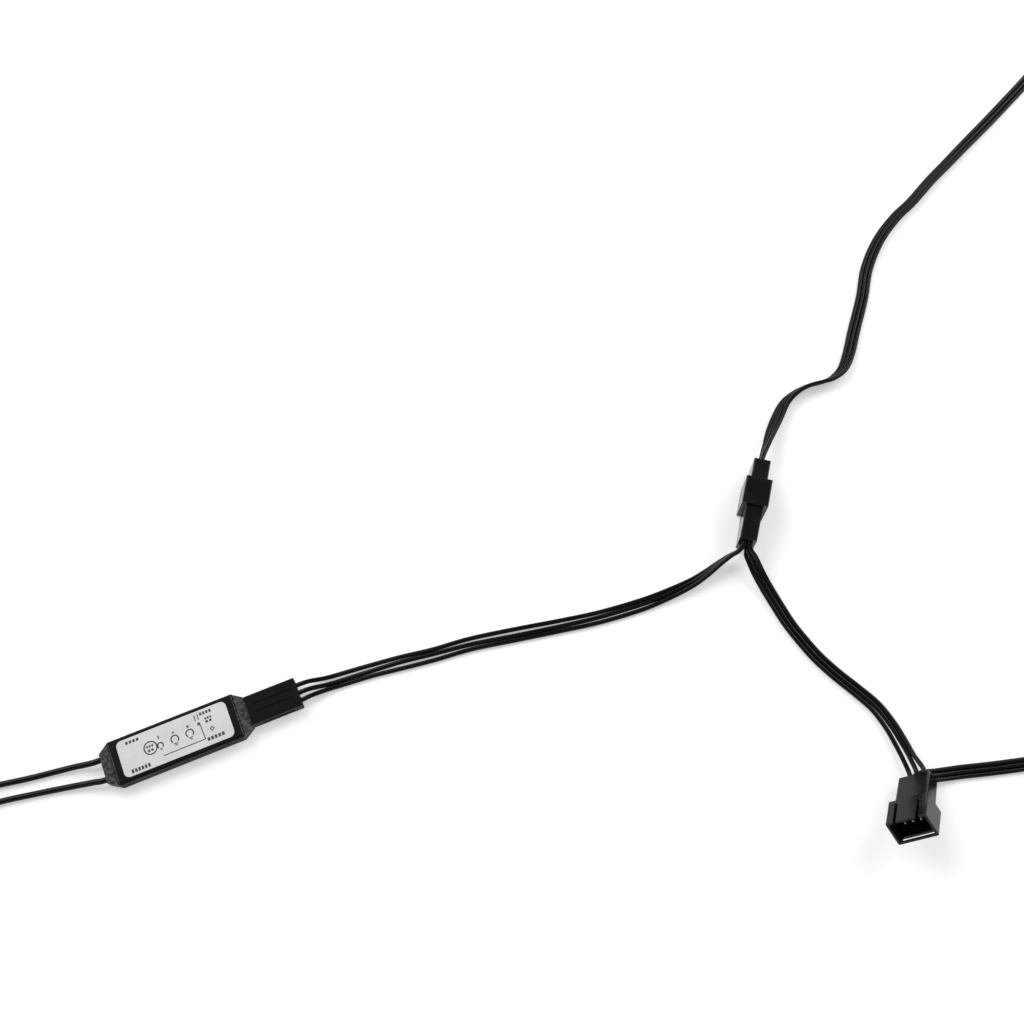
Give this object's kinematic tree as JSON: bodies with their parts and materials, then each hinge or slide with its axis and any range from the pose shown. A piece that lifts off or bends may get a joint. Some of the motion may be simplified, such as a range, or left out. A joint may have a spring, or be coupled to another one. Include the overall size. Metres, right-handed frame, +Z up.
{
  "type": "light splitter harness with inline controller",
  "caption": "Slim inline controller with bare power leads and a flat lead feeding a chain of hooded plugs, one taken by a lamp lead and one open.",
  "frame": {"origin": "middle of the underside of the controller's case", "axes": "+X runs along the controller towards its output lead, +Z is up away from the table, and +Y is to the left of the way the lead leaves"},
  "size_m": [0.5425, 0.2699, 0.0223],
  "materials": {
    "case_plastic": "satin black moulded plastic",
    "connector_plastic": "semi-gloss black moulded nylon",
    "wire_insulation": "smooth glossy black vinyl",
    "label_film": "matte light grey printed film",
    "circuit_board": "green solder mask",
    "component_plastic": "moulded black",
    "ceramic": "fired ceramic",
    "gilt_pins": "thin gilt plating on brass",
    "tinned_contacts": "bright tin plating"
  },
  "bodies": {
    "root": {"case_base": "case_plastic", "case_lid": "case_plastic", "case_label": "label_film", "circuit_board": "circuit_board", "microcontroller": "component_plastic", "voltage_regulator": "component_plastic", "filter_capacitor": "ceramic", "series_resistors": "component_plastic", "output_header": "component_plastic", "header_pin_1": "gilt_pins", "header_pin_2": "gilt_pins", "header_pin_3": "gilt_pins", "power_lead_plus": "wire_insulation", "power_lead_minus": "wire_insulation", "power_core_plus": "tinned_contacts", "power_core_minus": "tinned_contacts", "trunk_socket": "connector_plastic", "trunk_contact_1": "tinned_contacts", "trunk_contact_2": "tinned_contacts", "trunk_contact_3": "tinned_contacts", "trunk_wire_1": "wire_insulation", "trunk_wire_2": "wire_insulation", "trunk_wire_3": "wire_insulation", "split_plug": "connector_plastic", "split_pin_1": "gilt_pins", "split_pin_2": "gilt_pins", "split_pin_3": "gilt_pins", "lamp_socket": "connector_plastic", "lamp_contact_1": "tinned_contacts", "lamp_contact_2": "tinned_contacts", "lamp_contact_3": "tinned_contacts", "lamp_wire_1": "wire_insulation", "lamp_wire_2": "wire_insulation", "lamp_wire_3": "wire_insulation", "lamp_plug": "connector_plastic", "lamp_pin_1": "gilt_pins", "lamp_pin_2": "gilt_pins", "lamp_pin_3": "gilt_pins", "branch_wire_1": "wire_insulation", "branch_wire_2": "wire_insulation", "branch_wire_3": "wire_insulation", "branch_plug": "connector_plastic", "branch_pin_1": "gilt_pins", "branch_pin_2": "gilt_pins", "branch_pin_3": "gilt_pins", "chain_wire_1": "wire_insulation", "chain_wire_2": "wire_insulation", "chain_wire_3": "wire_insulation", "chain_plug": "connector_plastic", "chain_pin_1": "gilt_pins", "chain_pin_2": "gilt_pins", "chain_pin_3": "gilt_pins"}
  },
  "joints": []
}
